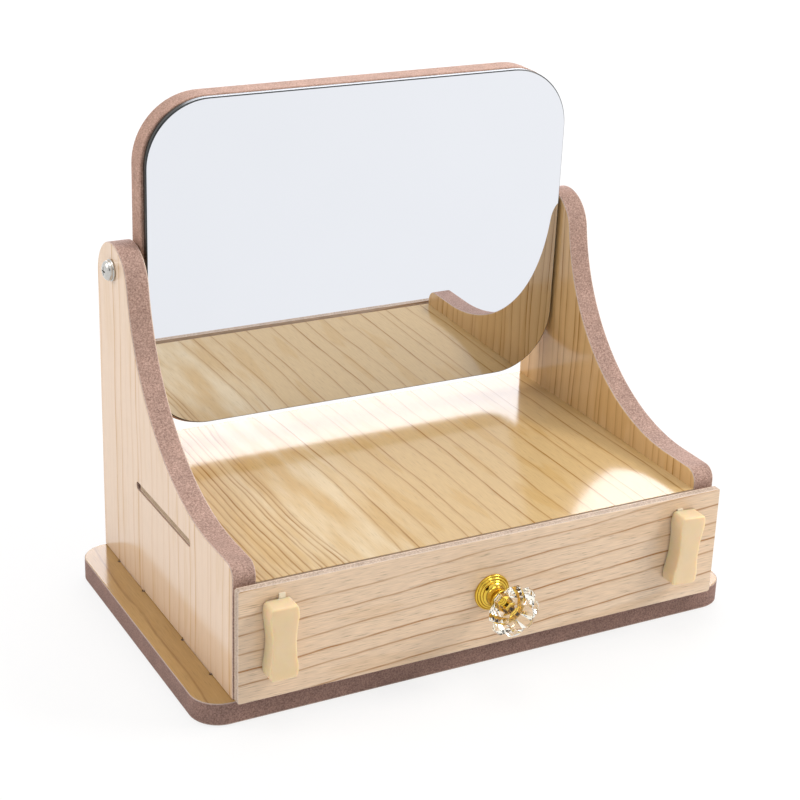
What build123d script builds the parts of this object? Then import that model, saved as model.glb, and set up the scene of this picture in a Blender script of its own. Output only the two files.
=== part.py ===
from build123d import *
import math
import os

# Tabletop make-up mirror on a small cabinet with one drawer, in millimetres.
# X runs from left to right, Y from front to back and Z up from the table.
# The origin is the middle of the base board's underside.

# Board stock and joinery
board = 9.0  # base, side panels and mirror backing
thin_board = 3.0  # shelf, back panel and drawer
edge_ease = 0.35  # sanded edge of a board
joint_play = 0.1  # play of a tenon on each side of its mortise
router_radius = 0.8  # relief that the router leaves at an inner corner
relief_sides = 8  # a relief is this fine a polygon

# Cabinet
cabinet_width = 200.0  # over both side panels
panel_depth = 129.2  # side panel from front to rear
bay_height = 41.4  # clear height of the drawer bay
base_overhang_side = 12.0
base_overhang_front = 1.2
base_overhang_rear = 0.0  # the panels end flush with the base
base_corner_radius = 11.0
back_panel_inset = 1.0  # back panel in from the rear edges

# Side panel outline
lip_rise = 7.1  # low front part above the shelf
front_corner_radius = 5.0
sweep_radius = 80.0  # hollow front curve
head_radius = 15.6  # round top at the pivot
pivot_rear_distance = 16.2  # pivot ahead of the panel's rear edge
pivot_below_top = 10.1
pivot_above_shelf = 77.0
tenon_length = 26.2
tenon_front_distance = 32.2  # middle of the front tenon from the panel's front
tenon_rear_distance = 29.9  # middle of the rear tenon from the panel's rear
tenon_short = 0.5  # tenon end up from the underside

# Shelf joint
shelf_slot_length = 54.0  # over its round ends
shelf_tenon_length = 50.0
shelf_tenon_lead = 0.8  # tenon ahead of the middle of its slot
shelf_tenon_short = 0.6  # tenon end in from the panel's outer face

# Mirror
glass_height = 129.0
glass_thickness = 2.4
glass_corner_radius = 25.0
glass_bevel = 0.5
backing_border = 0.7  # backing board beyond the glass all round
glass_set_right = 0.4  # glass off the middle of the backing board
glass_set_up = 0.4
pivot_above_middle = 0.8  # pivot above the middle of the backing board
mirror_lean = 0.8  # the mirror rests leaning forwards, degrees
tape_thickness = 0.6
tape_end_margin = 19.5  # strip in from the ends of the glass
tape_width = 18.0
tape_pitch = 42.0
tape_count = 3

# Pivot screws and washers
pivot_screw_radius = 2.0
pivot_head_radius = 3.8
pivot_head_height = 2.5
pivot_screw_reach = 18.0  # into the backing board
pilot_spare = 1.0  # pilot hole beyond the screw's end
pivot_hole_clearance = 0.08  # on the radius
pilot_clearance = 0.05  # on the radius
outer_washer_radius = 4.2
outer_washer_thickness = 0.8
spacer_radius = 4.2
spacer_thickness = 0.7
pivot_play = 0.1  # washer off the panel's face

# Heads of the cross-slotted screws, as shares of a head's radius and height
head_flat = 0.5
head_shoulder = 0.85
head_shoulder_rise = 0.75
head_rim_rise = 0.3
slot_span = 1.1
slot_width = 0.24
slot_depth = 0.55

# Drawer
drawer_side_gap = 1.0
drawer_floor_gap = 0.3
drawer_top_gap = 1.1
drawer_rear_gap = 0.3
drawer_stand_off = 2.1  # drawer front ahead of the panel edges
front_drop_gap = 0.6  # drawer front above the base board's top
front_top_rise = 0.6  # drawer front above the shelf's top
front_corner_ease = 1.0
finger_count = 5
floor_tab_length = 24.0
floor_tab_end_distance = 32.0  # middle of a tab from the end of the box

# Knob
rosette_radius = 7.1
rosette_edge = 0.8  # straight outer edge of the first ring
rosette_rim = 1.3  # height of the first ring
rosette_second_rim = 1.8
rosette_dish = 2.3  # where the rings end and the dish begins
rosette_step = 1.0  # each ring in from the one below
rosette_ease = 0.5  # bevel of the first ring
neck_radius = 3.4
neck_flare = 0.5  # foot of the neck wider than its top
neck_foot = 3.8  # heights of the neck's two ends
neck_top = 5.3
cup_radius = 4.9
cup_wall = 0.6
cup_floor = 7.6  # from the drawer front to the bottom of the cup
cup_depth = 1.2
crystal_play = 0.1
crystal_neck = 0.3  # straight part ahead of the cup
crystal_radius = 10.1  # over the lobes
notch_radius = 8.5  # between two lobes
table_radius = 5.0
crystal_height = 13.2
girdle_back_depth = 6.6  # levels of the crystal, back from its table
girdle_depth = 5.3
girdle_front_depth = 3.8
bezel_depth = 1.3
girdle_back_tip_inset = 0.7  # in from the lobes and the notches
girdle_back_notch_inset = 1.2
girdle_front_tip_inset = 0.4
girdle_front_notch_inset = 0.6
bezel_tip_outset = 2.4  # out from the table
bezel_notch_outset = 1.5
lobe_count = 8
lobe_half_angle = 9.0  # flat tip of a lobe, degrees
knob_screw_radius = 2.0
knob_hole_clearance = 0.2
knob_head_radius = 3.9
knob_head_height = 2.3
knob_washer_radius = 4.8
knob_washer_thickness = 0.8
knob_screw_bite = 5.0  # thread in the rosette
knob_thread_spare = 0.5  # threaded hole beyond the screw's end

# Grips on the drawer front
left_grip_end_distance = 14.3  # middle of a grip from the end of the drawer front
right_grip_end_distance = 17.7
left_grip_turn = 0.0  # degrees, with its top to the right
right_grip_turn = 4.4  # this one is glued on a little askew
grip_width = 11.2  # over the corners before they are rounded
grip_waist = 9.0
grip_height = 28.4
grip_depth = 7.0
grip_draft = 1.8  # front face up from the bottom end
grip_top_draft = 0.6  # top end down from the widest height
grip_corner_tilt = 0.3  # rise that tells a corner edge from a level one
grip_corner_ease = 1.4
grip_edge_radius = 1.0
grip_top_slope = 2.8
grip_above_middle = 2.6  # above the middle of the drawer front
grip_tape_thickness = 0.6
grip_tape_margin = 1.4
left_tape_tail = 1.8  # tape end that shows above the grip
right_tape_tail = 0.5
tape_tail_width = 2.4

# Heights
base_top = board
shelf_bottom = base_top + bay_height
shelf_top = shelf_bottom + thin_board
lip_top = shelf_top + lip_rise
pivot_z = shelf_top + pivot_above_shelf
head_top = pivot_z + pivot_below_top

# Places from left to right and from front to back
half_width = cabinet_width / 2
inner_half = half_width - board
inner_width = 2 * inner_half
base_width = cabinet_width + 2 * base_overhang_side
base_depth = panel_depth + base_overhang_front + base_overhang_rear
front_y = base_overhang_front - base_depth / 2
rear_y = front_y + panel_depth
panel_middle_y = (front_y + rear_y) / 2
pivot_y = rear_y - pivot_rear_distance
back_panel_y = rear_y - back_panel_inset - thin_board / 2
tenon_places = (front_y + tenon_front_distance, rear_y - tenon_rear_distance)

# Mirror sizes that follow from the cabinet and the glass
backing_width = inner_width - 2 * (spacer_thickness + pivot_play)
glass_width = backing_width - 2 * backing_border
backing_height = glass_height + 2 * backing_border
backing_corner = glass_corner_radius + backing_border
mirror_middle_z = pivot_z - pivot_above_middle
backing_front_y = pivot_y - board / 2

# Drawer sizes that follow from the bay
box_width = inner_width - 2 * drawer_side_gap
box_height = bay_height - drawer_floor_gap - drawer_top_gap
box_front_y = front_y - drawer_stand_off
box_rear_y = back_panel_y - thin_board / 2 - drawer_rear_gap
box_length = box_rear_y - box_front_y
box_middle_y = (box_front_y + box_rear_y) / 2
box_bottom_z = base_top + drawer_floor_gap
box_middle_z = box_bottom_z + box_height / 2
finger_height = box_height / finger_count
front_bottom_z = base_top + front_drop_gap
front_height = shelf_top + front_top_rise - front_bottom_z
front_middle_z = front_bottom_z + front_height / 2
face_y = box_front_y - thin_board
knob_grip_length = 2 * thin_board + knob_screw_bite
floor_tab_reach = box_length / 2 - floor_tab_end_distance
floor_tabs = (-floor_tab_reach, floor_tab_reach)


def ease_edges(solid, axis):
    """Sand the long edges of a flat board, those in its two faces."""
    faces = solid.faces().filter_by(axis).sort_by(axis)
    outer = faces[0].outer_wire().edges() + faces[-1].outer_wire().edges()
    return chamfer(outer, edge_ease)


def router_relief(points):
    """Small round cuts that a router makes at inner corners."""
    relief = RegularPolygon(router_radius, relief_sides)
    return Sketch() + [Pos(x, y) * relief for x, y in points]


def base_board():
    """Base with rounded corners and four mortises for the side panels."""
    outline = RectangleRounded(base_width, base_depth, base_corner_radius)
    solid = ease_edges(extrude(outline, board), Axis.Z)
    cut_length = tenon_length + 2 * joint_play
    cut_width = board + 2 * joint_play
    cuts = Sketch()
    for side in (-1, 1):
        for y in tenon_places:
            x = side * (half_width - board / 2)
            cuts += Pos(x, y) * Rectangle(cut_width, cut_length)
            corners = [(x + i * cut_width / 2, y + j * cut_length / 2) for i in (-1, 1) for j in (-1, 1)]
            cuts += router_relief(corners)
    return solid - extrude(cuts, board)


def panel_outline():
    """Outline of a side panel, with Y across and Z up."""
    sweep_z = lip_top + sweep_radius
    head_y = rear_y - head_radius
    head_z = head_top - head_radius
    drop = sweep_z - head_z
    sweep_y = head_y - math.sqrt((sweep_radius + head_radius) ** 2 - drop**2)
    meet = math.degrees(math.asin(drop / (sweep_radius + head_radius)))
    corner_y = front_y + front_corner_radius
    corner_z = lip_top - front_corner_radius
    edges = [
        Line((front_y, base_top), (front_y, corner_z)),
        CenterArc((corner_y, corner_z), front_corner_radius, 180, -90),
        Line((corner_y, lip_top), (sweep_y, lip_top)),
        CenterArc((sweep_y, sweep_z), sweep_radius, -90, 90 - meet),
        CenterArc((head_y, head_z), head_radius, 180 - meet, meet - 180),
        Line((rear_y, head_z), (rear_y, base_top)),
        Line((rear_y, base_top), (front_y, base_top)),
    ]
    return make_face(Curve() + edges)


def side_panel(side):
    """Side panel with two tenons, the shelf's slot and the pivot hole."""
    x_inner = side * inner_half
    start = min(x_inner, side * half_width)
    plane = Plane.YZ.offset(start)
    solid = ease_edges(extrude(plane * panel_outline(), board), Axis.X)
    tenon_depth = board - tenon_short
    tenons = Sketch()
    relief = Sketch()
    for y in tenon_places:
        tenons += Pos(y, base_top - tenon_depth / 2) * Rectangle(tenon_length, tenon_depth)
        roots = [(y + i * (tenon_length / 2 + router_radius), base_top) for i in (-1, 1)]
        relief += router_relief(roots)
    slot = SlotOverall(shelf_slot_length, thin_board + 2 * joint_play)
    cuts = Pos(panel_middle_y, shelf_top - thin_board / 2) * slot
    cuts += Pos(pivot_y, pivot_z) * Circle(pivot_screw_radius + pivot_hole_clearance)
    solid += extrude(plane * tenons, board)
    return solid - extrude(plane * (cuts + relief), board)


def shelf_board():
    """Shelf over the drawer, with a tenon into each side panel."""
    outline = Rectangle(inner_width, panel_depth)
    tenon_span = cabinet_width - 2 * shelf_tenon_short
    tenon = Pos(0, -shelf_tenon_lead) * Rectangle(tenon_span, shelf_tenon_length)
    return Pos(0, panel_middle_y, shelf_bottom) * extrude(outline + tenon, thin_board)


def back_panel():
    """Closes the drawer bay at the rear and stops the drawer."""
    return Pos(0, back_panel_y, base_top + bay_height / 2) * Box(inner_width, thin_board, bay_height)


def upright_plate(width, height, corner, thickness, rear_face_y):
    """Rounded plate that stands in the XZ plane, with its rear face at a Y."""
    plane = Plane(origin=(0, rear_face_y, mirror_middle_z), x_dir=(1, 0, 0), z_dir=(0, -1, 0))
    return extrude(plane * RectangleRounded(width, height, corner), thickness)


def lean(shape):
    """Lean a piece of the mirror forwards about the pivot axis."""
    return shape.rotate(Axis((0, pivot_y, pivot_z), (1, 0, 0)), mirror_lean)


def mirror_glass():
    """Silvered glass with a fine bevel round its front."""
    rear = backing_front_y - tape_thickness
    solid = upright_plate(glass_width, glass_height, glass_corner_radius, glass_thickness, rear)
    solid = Pos(glass_set_right, 0, glass_set_up) * solid
    front = solid.faces().sort_by(Axis.Y)[0]
    return lean(chamfer(front.outer_wire().edges(), glass_bevel))


def mirror_backing_board():
    """Board that carries the glass and takes the pivot screws in its edges."""
    solid = upright_plate(backing_width, backing_height, backing_corner, board, pivot_y + board / 2)
    solid = ease_edges(solid, Axis.Y)
    pilot = Cylinder(
        pivot_screw_radius + pilot_clearance,
        pivot_screw_reach + pilot_spare,
        align=(Align.CENTER, Align.CENTER, Align.MAX),
    )
    for side in (-1, 1):
        solid -= pivot_plane(side, backing_width / 2).location * pilot
    return lean(solid)


def mirror_tape_strips():
    """Double-sided tape strips between the glass and its board."""
    middle = (tape_count - 1) / 2
    y = backing_front_y - tape_thickness / 2
    strip = Box(glass_width - 2 * tape_end_margin, tape_thickness, tape_width)
    heights = [mirror_middle_z + (i - middle) * tape_pitch for i in range(tape_count)]
    return [lean(Pos(0, y, z) * strip) for z in heights]


def pivot_plane(side, distance):
    """Plane on the pivot axis that looks outwards on one side."""
    return Plane(origin=(side * distance, pivot_y, pivot_z), x_dir=(0, 1, 0), z_dir=(side, 0, 0))


def pan_head_screw(shank, length, head, height):
    """Cross-slotted screw along Z, with the underside of its head at zero."""
    profile = Polyline(
        (0, height),
        (head_flat * head, height),
        (head_shoulder * head, head_shoulder_rise * height),
        (head, head_rim_rise * height),
        (head, 0),
        (shank, 0),
        (shank, -length),
        (0, -length),
        (0, height),
    )
    solid = revolve(Plane.XZ * make_face(profile), Axis.Z)
    top = (Align.CENTER, Align.CENTER, Align.MAX)
    slot = Box(slot_span * head, slot_width * head, slot_depth * height, align=top)
    return solid - Pos(0, 0, height) * (slot + Rot(0, 0, 90) * slot)


def washer(outer, inner, thickness):
    """Flat washer that stands on the XY plane."""
    return extrude(Circle(outer) - Circle(inner), thickness)


def pivot_screw(side):
    """Screw that the mirror turns on, through the panel into the backing."""
    distance = half_width + pivot_play + outer_washer_thickness
    length = distance - backing_width / 2 + pivot_screw_reach
    screw = pan_head_screw(pivot_screw_radius, length, pivot_head_radius, pivot_head_height)
    return pivot_plane(side, distance).location * screw


def pivot_outer_washer(side):
    """Washer under the head of a pivot screw."""
    ring = washer(outer_washer_radius, pivot_screw_radius + pilot_clearance, outer_washer_thickness)
    return pivot_plane(side, half_width + pivot_play).location * ring


def pivot_spacer(side):
    """Washer that keeps the backing board off the side panel."""
    ring = washer(spacer_radius, pivot_screw_radius + pilot_clearance, spacer_thickness)
    return pivot_plane(side, backing_width / 2).location * ring


def finger_cuts(length, first):
    """Notches at both ends of a drawer wall, over every second finger."""
    cuts = Sketch()
    for i in range(first, finger_count, 2):
        z = (i + 0.5) * finger_height - box_height / 2
        for end in (-1, 1):
            cuts += Pos(end * (length - thin_board) / 2, z) * Rectangle(thin_board, finger_height)
    return cuts


def drawer_end(y, hole):
    """Front or rear wall of the drawer box, fingered at both ends."""
    plane = Plane(origin=(0, y, box_middle_z), x_dir=(1, 0, 0), z_dir=(0, -1, 0))
    outline = Rectangle(box_width, box_height) - finger_cuts(box_width, 0)
    if hole:
        outline -= Pos(0, front_middle_z - box_middle_z) * Circle(knob_screw_radius + knob_hole_clearance)
    return extrude(plane * outline, thin_board / 2, both=True)


def drawer_side(side):
    """Side wall of the drawer box, with notches for the floor's tabs."""
    x = side * (box_width - thin_board) / 2
    plane = Plane(origin=(x, box_middle_y, box_middle_z), x_dir=(0, 1, 0), z_dir=(1, 0, 0))
    outline = Rectangle(box_length, box_height) - finger_cuts(box_length, 1)
    for y in floor_tabs:
        notch_z = (thin_board - box_height) / 2
        outline -= Pos(y, notch_z) * Rectangle(floor_tab_length, thin_board)
    return extrude(plane * outline, thin_board / 2, both=True)


def drawer_floor():
    """Floor of the drawer box, with two tabs into each side wall."""
    outline = Rectangle(box_width - 2 * thin_board, box_length - 2 * thin_board)
    for y in floor_tabs:
        outline += Pos(0, y) * Rectangle(box_width, floor_tab_length)
    return Pos(0, box_middle_y, box_bottom_z) * extrude(outline, thin_board)


def drawer_front():
    """Show front that covers the bay and the side panels' front edges."""
    plane = Plane(origin=(0, box_front_y, front_middle_z), x_dir=(1, 0, 0), z_dir=(0, -1, 0))
    outline = RectangleRounded(cabinet_width, front_height, front_corner_ease)
    solid = extrude(plane * outline, thin_board)
    front = solid.faces().sort_by(Axis.Y)[0]
    solid = chamfer(front.outer_wire().edges(), edge_ease)
    hole = plane * Circle(knob_screw_radius + knob_hole_clearance)
    return solid - extrude(hole, thin_board)


def knob_plane(distance):
    """Plane on the knob's axis that looks forwards, ahead of the drawer face."""
    return Plane(origin=(0, face_y - distance, front_middle_z), x_dir=(1, 0, 0), z_dir=(0, -1, 0))


def knob_rosette():
    """Stepped base of the knob, turned with a neck and a cup for the crystal."""
    second_ring = rosette_radius - rosette_step
    cup_inner = cup_radius - cup_wall
    cup_top = cup_floor + cup_depth
    profile = Polyline(
        (0, 0),
        (rosette_radius, 0),
        (rosette_radius, rosette_edge),
        (rosette_radius - rosette_ease, rosette_rim),
        (second_ring, rosette_rim),
        (second_ring, rosette_second_rim),
        (second_ring - rosette_step, rosette_dish),
        (neck_radius + neck_flare, neck_foot),
        (neck_radius, neck_top),
        (cup_radius, cup_floor),
        (cup_radius, cup_top),
        (cup_inner, cup_top),
        (cup_inner, cup_floor),
        (0, cup_floor),
        (0, 0),
    )
    solid = revolve(Plane.XZ * make_face(profile), Axis.Z)
    thread = Cylinder(
        knob_screw_radius + pilot_clearance,
        knob_screw_bite + knob_thread_spare,
        align=(Align.CENTER, Align.CENTER, Align.MIN),
    )
    return knob_plane(0).location * (solid - thread)


def lobed_ring(tip, notch, height):
    """Points of one level of the crystal, three to a lobe."""
    points = []
    for i in range(lobe_count):
        middle = 360 / lobe_count * i
        turns = (
            (tip, middle - lobe_half_angle),
            (tip, middle + lobe_half_angle),
            (notch, middle + 180 / lobe_count),
        )
        for radius, angle in turns:
            a = math.radians(angle)
            points.append(Vector(radius * math.cos(a), radius * math.sin(a), height))
    return points


def faceted_solid(rings):
    """Closed solid of flat triangles between rings of points, low ring first."""
    count = len(rings[0])
    faces = []
    for low, high in zip(rings, rings[1:]):
        for i in range(count):
            j = (i + 1) % count
            faces.append(Face(Wire.make_polygon([low[i], low[j], high[j]])))
            faces.append(Face(Wire.make_polygon([low[i], high[j], high[i]])))
    faces.append(Face(Wire.make_polygon(rings[-1])))
    faces.append(Face(Wire.make_polygon(rings[0][::-1])))
    return Solid(Shell(faces))


def knob_crystal():
    """Cut crystal with eight lobes, a flat table and a seat in the cup."""
    seat = cup_radius - cup_wall - crystal_play
    back_tip = crystal_radius - girdle_back_tip_inset
    back_notch = notch_radius - girdle_back_notch_inset
    front_tip = crystal_radius - girdle_front_tip_inset
    front_notch = notch_radius - girdle_front_notch_inset
    bezel_tip = table_radius + bezel_tip_outset
    bezel_notch = table_radius + bezel_notch_outset
    rings = [
        lobed_ring(seat, seat, 0),
        lobed_ring(seat, seat, cup_depth + crystal_neck),
        lobed_ring(back_tip, back_notch, crystal_height - girdle_back_depth),
        lobed_ring(crystal_radius, notch_radius, crystal_height - girdle_depth),
        lobed_ring(front_tip, front_notch, crystal_height - girdle_front_depth),
        lobed_ring(bezel_tip, bezel_notch, crystal_height - bezel_depth),
        lobed_ring(table_radius, table_radius, crystal_height),
    ]
    return knob_plane(cup_floor).location * faceted_solid(rings)


def inside_plane(distance):
    """Plane on the knob's axis that looks into the drawer from its front wall."""
    y = box_front_y + thin_board + distance
    return Plane(origin=(0, y, front_middle_z), x_dir=(1, 0, 0), z_dir=(0, 1, 0))


def knob_screw():
    """Screw through both drawer fronts into the rosette."""
    length = knob_grip_length + knob_washer_thickness
    screw = pan_head_screw(knob_screw_radius, length, knob_head_radius, knob_head_height)
    return inside_plane(knob_washer_thickness).location * screw


def knob_washer():
    """Washer under the knob screw's head."""
    ring = washer(knob_washer_radius, knob_screw_radius + knob_hole_clearance, knob_washer_thickness)
    return inside_plane(0).location * ring


def grip_plane(side, distance):
    """Plane at the middle of a grip that looks forwards, ahead of the face."""
    end_distance = left_grip_end_distance if side < 0 else right_grip_end_distance
    turn = math.radians(left_grip_turn if side < 0 else right_grip_turn)
    x = side * (half_width - end_distance)
    origin = (x, face_y - distance, front_middle_z + grip_above_middle)
    return Plane(origin=origin, x_dir=(math.cos(turn), 0, -math.sin(turn)), z_dir=(0, -1, 0))


def grip(side):
    """Moulded waisted grip with a sloping top, cut corners and a soft front edge."""
    half = grip_height / 2
    end = grip_width / 2
    waist = grip_waist / 2
    outline = make_face(
        Line((-end, -half), (end, -half))
        + ThreePointArc((end, -half), (waist, 0), (end, half))
        + Line((end, half), (-end, half))
        + ThreePointArc((-end, half), (-waist, 0), (-end, -half))
    )
    side_view = make_face(
        Polyline(
            (-half, 0),
            (half, 0),
            (half - grip_top_draft, grip_depth - grip_top_slope),
            (half - grip_top_slope, grip_depth),
            (grip_draft - half, grip_depth),
            (-half, 0),
        )
    )
    solid = extrude(outline, grip_depth) & extrude(Plane.YZ * side_view, grip_width, both=True)
    corners = [edge for edge in solid.edges() if abs(edge.tangent_at(0.5).Z) > grip_corner_tilt]
    solid = chamfer(corners, grip_corner_ease)
    front = solid.faces().sort_by(Axis.Z)[-1]
    solid = fillet(front.edges(), grip_edge_radius)
    return grip_plane(side, grip_tape_thickness).location * solid


def grip_tape(side):
    """Double-sided tape behind a grip, with a tail that shows above it."""
    half_height = grip_height / 2 - grip_tape_margin
    tape_outline_width = grip_waist - 2 * grip_tape_margin
    outline = Rectangle(tape_outline_width, 2 * half_height)
    tail = left_tape_tail if side < 0 else right_tape_tail
    tail_length = grip_tape_margin + tail
    tail_x = -side * (tape_outline_width - tape_tail_width) / 2
    outline += Pos(tail_x, half_height + tail_length / 2) * Rectangle(tape_tail_width, tail_length)
    return grip_plane(side, 0).location * extrude(outline, grip_tape_thickness)


def all_nodes():
    """Every piece of the product by its node name."""
    nodes = {
        "base_board": base_board(),
        "shelf_board": shelf_board(),
        "back_panel": back_panel(),
        "mirror_glass": mirror_glass(),
        "mirror_backing_board": mirror_backing_board(),
        "mirror_tape_strips": Compound(children=mirror_tape_strips()),
        "drawer_front": drawer_front(),
        "drawer_box_front": drawer_end(box_front_y + thin_board / 2, True),
        "drawer_box_back": drawer_end(box_rear_y - thin_board / 2, False),
        "drawer_floor": drawer_floor(),
        "knob_rosette": knob_rosette(),
        "knob_crystal": knob_crystal(),
        "knob_screw": knob_screw(),
        "knob_washer": knob_washer(),
    }
    for name, side in (("left", -1), ("right", 1)):
        nodes[name + "_side_panel"] = side_panel(side)
        nodes[name + "_pivot_screw"] = pivot_screw(side)
        nodes[name + "_outer_washer"] = pivot_outer_washer(side)
        nodes[name + "_spacer_washer"] = pivot_spacer(side)
        nodes["drawer_" + name + "_side"] = drawer_side(side)
        nodes[name + "_grip"] = grip(side)
        nodes[name + "_grip_tape"] = grip_tape(side)
    return nodes


os.makedirs("parts", exist_ok=True)
for node_name, shape in all_nodes().items():
    export_step(shape, "parts/" + node_name + ".step")
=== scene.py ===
import math

import bpy
from mathutils import Matrix, Vector


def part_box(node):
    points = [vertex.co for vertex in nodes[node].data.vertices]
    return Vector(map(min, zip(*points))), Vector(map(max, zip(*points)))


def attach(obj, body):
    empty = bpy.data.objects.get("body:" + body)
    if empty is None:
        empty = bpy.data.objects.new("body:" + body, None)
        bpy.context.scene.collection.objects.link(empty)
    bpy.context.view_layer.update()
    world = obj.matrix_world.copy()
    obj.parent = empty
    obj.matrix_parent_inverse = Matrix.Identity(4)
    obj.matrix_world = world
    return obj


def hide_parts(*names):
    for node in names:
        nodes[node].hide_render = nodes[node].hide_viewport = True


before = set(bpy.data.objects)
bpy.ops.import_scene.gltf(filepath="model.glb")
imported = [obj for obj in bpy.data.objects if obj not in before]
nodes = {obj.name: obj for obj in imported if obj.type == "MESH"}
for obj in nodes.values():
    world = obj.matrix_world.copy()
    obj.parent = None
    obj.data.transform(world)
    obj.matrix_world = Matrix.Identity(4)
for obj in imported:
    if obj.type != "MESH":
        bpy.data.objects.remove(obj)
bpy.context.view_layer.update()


# Base board. A 9 mm fibreboard with rounded corners, wood-grain paper on both
# faces and bare brown edges. It is routed to shape, with four mortises that
# the tenons of the side panels are glued into.
MM = 0.001
X_AXIS = (1, 0, 0)
Y_AXIS = (0, 1, 0)
Z_AXIS = (0, 0, 1)
THICK_BOARD = 9.0  # stock of the base, the side panels and the mirror backing, mm
PAPER_EDGE = 0.15  # the paper ends this far down the edge, mm
ARRIS_HIGHLIGHT_DEPTH = 0.7  # painted highlight: the bare edge is painted paler this far down from the face, where an eased arris would catch light, mm
# Noise in the printed figure, by its size across the grain and along it, mm.
LONG_WAVE = (34.0, 70.0)
SHORT_WAVE = (7.0, 19.0)
LINE_FADE = (3.0, 26.0)
TONE_PATCH = (9.0, 60.0)
FIBRE = (0.42, 7.0)
# How the growth lines lie and how they are inked.
HEART_HALF = 6.0  # one side's pitch passes into the other's this near the heart, mm
LINE_STRAY = 0.28  # a line strays from its place by up to this share of the pitch
LINE_CORE = 0.1  # half the width of a line at full ink, mm
WEIGHT_POWER = 1.6  # above one, it makes more of the lines faint
# Noise in bare fibreboard, by how much of it goes to the millimetre.
FLECKS_PER_MM = 1.5  # about 0.7 mm each
CLOUDS_PER_MM = 0.18  # about 5.6 mm each
PITS_PER_MM = 2.6  # about 0.4 mm each
# Sockets of a Mix node: its two colours, the colour that it gives, its two numbers.
COLOUR_A = 6
COLOUR_B = 7
COLOUR_OUT = 2
NUMBER_A = 2
NUMBER_B = 3


def linear(code):
    """An sRGB hex colour as linear red, green, blue and alpha."""
    levels = [int(code[i : i + 2], 16) / 255 for i in (1, 3, 5)]
    return [v / 12.92 if v <= 0.04045 else ((v + 0.055) / 1.055) ** 2.4 for v in levels] + [1.0]


def connect(tree, node, inputs):
    """Fill a node's inputs, by name or number, or in order where they are a list.

    An input takes a value, a socket, or a node, which stands for its first output.
    """
    by_key = inputs if isinstance(inputs, dict) else dict(enumerate(inputs))
    for key, value in by_key.items():
        if isinstance(value, bpy.types.Node):
            value = value.outputs[0]
        if isinstance(value, bpy.types.NodeSocket):
            tree.links.new(value, node.inputs[key])
        else:
            node.inputs[key].default_value = value


def add(tree, kind, inputs=(), **settings):
    """Add a node with its settings and its inputs."""
    made = tree.nodes.new("ShaderNode" + kind)
    for key, value in settings.items():
        setattr(made, key, value)
    connect(tree, made, inputs)
    return made


def new_material(name):
    """An empty material with its node tree and its principled shader."""
    made = bpy.data.materials.new(name)
    made.use_nodes = True
    tree = made.node_tree
    return made, tree, tree.nodes["Principled BSDF"]


def fibreboard_colour(tree, place, dark, light):
    """Bare sawn fibreboard: brown fibres with pale and dark flecks."""
    flecking = {"Vector": place, "Scale": FLECKS_PER_MM, "Detail": 4.0, "Roughness": 0.75}
    flecks = add(tree, "TexNoise", flecking)
    clouds = add(tree, "TexNoise", {"Vector": place, "Scale": CLOUDS_PER_MM, "Detail": 2.0})
    ramp = add(tree, "ValToRGB", [flecks])
    for stop, position, code in zip(ramp.color_ramp.elements, (0.34, 0.66), (dark, light)):
        stop.position = position
        stop.color = linear(code)
    tone = add(tree, "MapRange", [clouds, 0.3, 0.7, 0.9, 1.08])
    return add(tree, "VectorMath", {0: ramp, "Scale": tone}, operation="SCALE")


def grain_noise(tree, shifted, size, detail=2.0):
    """Noise drawn out along the grain, by its size across the grain and along it."""
    width, length = size
    drawn = add(tree, "VectorMath", [shifted, (1 / width, 1 / length, 0)], operation="MULTIPLY")
    return add(tree, "TexNoise", {"Vector": drawn, "Scale": 1.0, "Detail": detail}, noise_dimensions="2D")


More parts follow.
